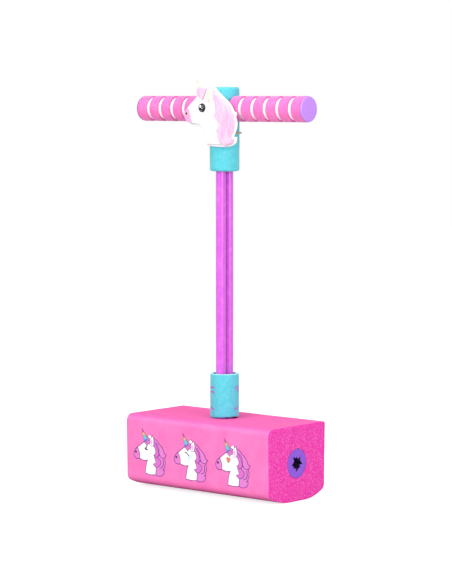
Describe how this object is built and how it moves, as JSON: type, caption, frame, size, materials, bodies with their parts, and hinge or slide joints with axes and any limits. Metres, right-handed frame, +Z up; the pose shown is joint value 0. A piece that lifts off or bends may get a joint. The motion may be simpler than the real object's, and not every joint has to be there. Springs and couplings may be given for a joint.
{
  "type": "foam pogo jumper",
  "caption": "Foam pogo jumper: squeaking foam block, looped rubber cord, foam-gripped handle bar and a unicorn head ornament.",
  "frame": {"origin": "middle of the foam block's flat sole, on the surface that it stands on", "axes": "+Z up along the stick, X along the block and the handle bar, -Y the side that the ornament faces"},
  "size_m": [0.3234, 0.13, 0.6135],
  "materials": {
    "block_foam": "matte",
    "plug_foam": "matte",
    "teal_foam": "matte",
    "white_foam": "matte",
    "grip_foam": "matte",
    "cord_rubber": "gloss",
    "white_plastic": "satin",
    "cap_plastic": "satin",
    "white_felt": "matte",
    "pink_felt": "matte",
    "cream_felt": "matte",
    "eye_plastic": "gloss",
    "band_elastic": "matte"
  },
  "bodies": {
    "base": {"foam_block": "block_foam", "bore_liner": "white_plastic", "anchor_pin": "white_plastic", "end_plug_right": "plug_foam", "end_plug_left": "plug_foam", "squeaker_bulb": "white_plastic", "squeaker_reed": "cap_plastic"},
    "collar": {"lower_collar": "teal_foam"},
    "cords": {"cord_loop": "cord_rubber"},
    "stick_head": {"upper_collar": "teal_foam", "ornament_band": "band_elastic"},
    "handle_bar": {"handle_core": "white_plastic", "grip_sleeve_right": "white_foam", "grip_sleeve_left": "white_foam", "grip_ring_right_1": "grip_foam", "grip_ring_right_2": "grip_foam", "grip_ring_right_3": "grip_foam", "grip_ring_right_4": "grip_foam", "grip_ring_right_5": "grip_foam", "grip_ring_right_6": "grip_foam", "grip_ring_left_1": "grip_foam", "grip_ring_left_2": "grip_foam", "grip_ring_left_3": "grip_foam", "grip_ring_left_4": "grip_foam", "grip_ring_left_5": "grip_foam", "grip_ring_left_6": "grip_foam", "end_cap_right": "cap_plastic", "end_cap_left": "cap_plastic"},
    "ornament": {"ornament_board": "white_felt", "ornament_head": "white_felt", "ornament_mane": "pink_felt", "ornament_muzzle": "pink_felt", "ornament_forelock": "pink_felt", "ornament_ear": "white_felt", "ornament_inner_ear": "cream_felt", "ornament_horn": "cream_felt", "ornament_eye": "eye_plastic", "ornament_nostril": "eye_plastic"}
  },
  "joints": [
    {"name": "stick_twist", "type": "hinge", "parent": "base", "child": "collar", "pos_m": [0, 0, 0.111], "axis": [0, 0, 1], "range_deg": [-45, 45], "stiffness_Nm_per_rad": 0.25},
    {"name": "stick_lean", "type": "hinge", "parent": "collar", "child": "cords", "pos_m": [0, 0, 0.1776], "axis": [1, 0, 0], "range_deg": [-20, 20], "stiffness_Nm_per_rad": 4},
    {"name": "cord_stretch", "type": "slide", "parent": "cords", "child": "stick_head", "axis": [0, 0, 1], "range_m": [0, 0.25], "stiffness_N_per_m": 300, "deforming": ["cord_loop"]},
    {"name": "bar_spin", "type": "hinge", "parent": "stick_head", "child": "handle_bar", "pos_m": [0, 0, 0.57], "axis": [1, 0, 0], "continuous": true},
    {"name": "ornament_tilt", "type": "hinge", "parent": "stick_head", "child": "ornament", "pos_m": [0, -0.0226, 0.515], "axis": [1, 0, 0], "range_deg": [0, 25], "stiffness_Nm_per_rad": 0.06, "springref_deg": -22.92}
  ]
}
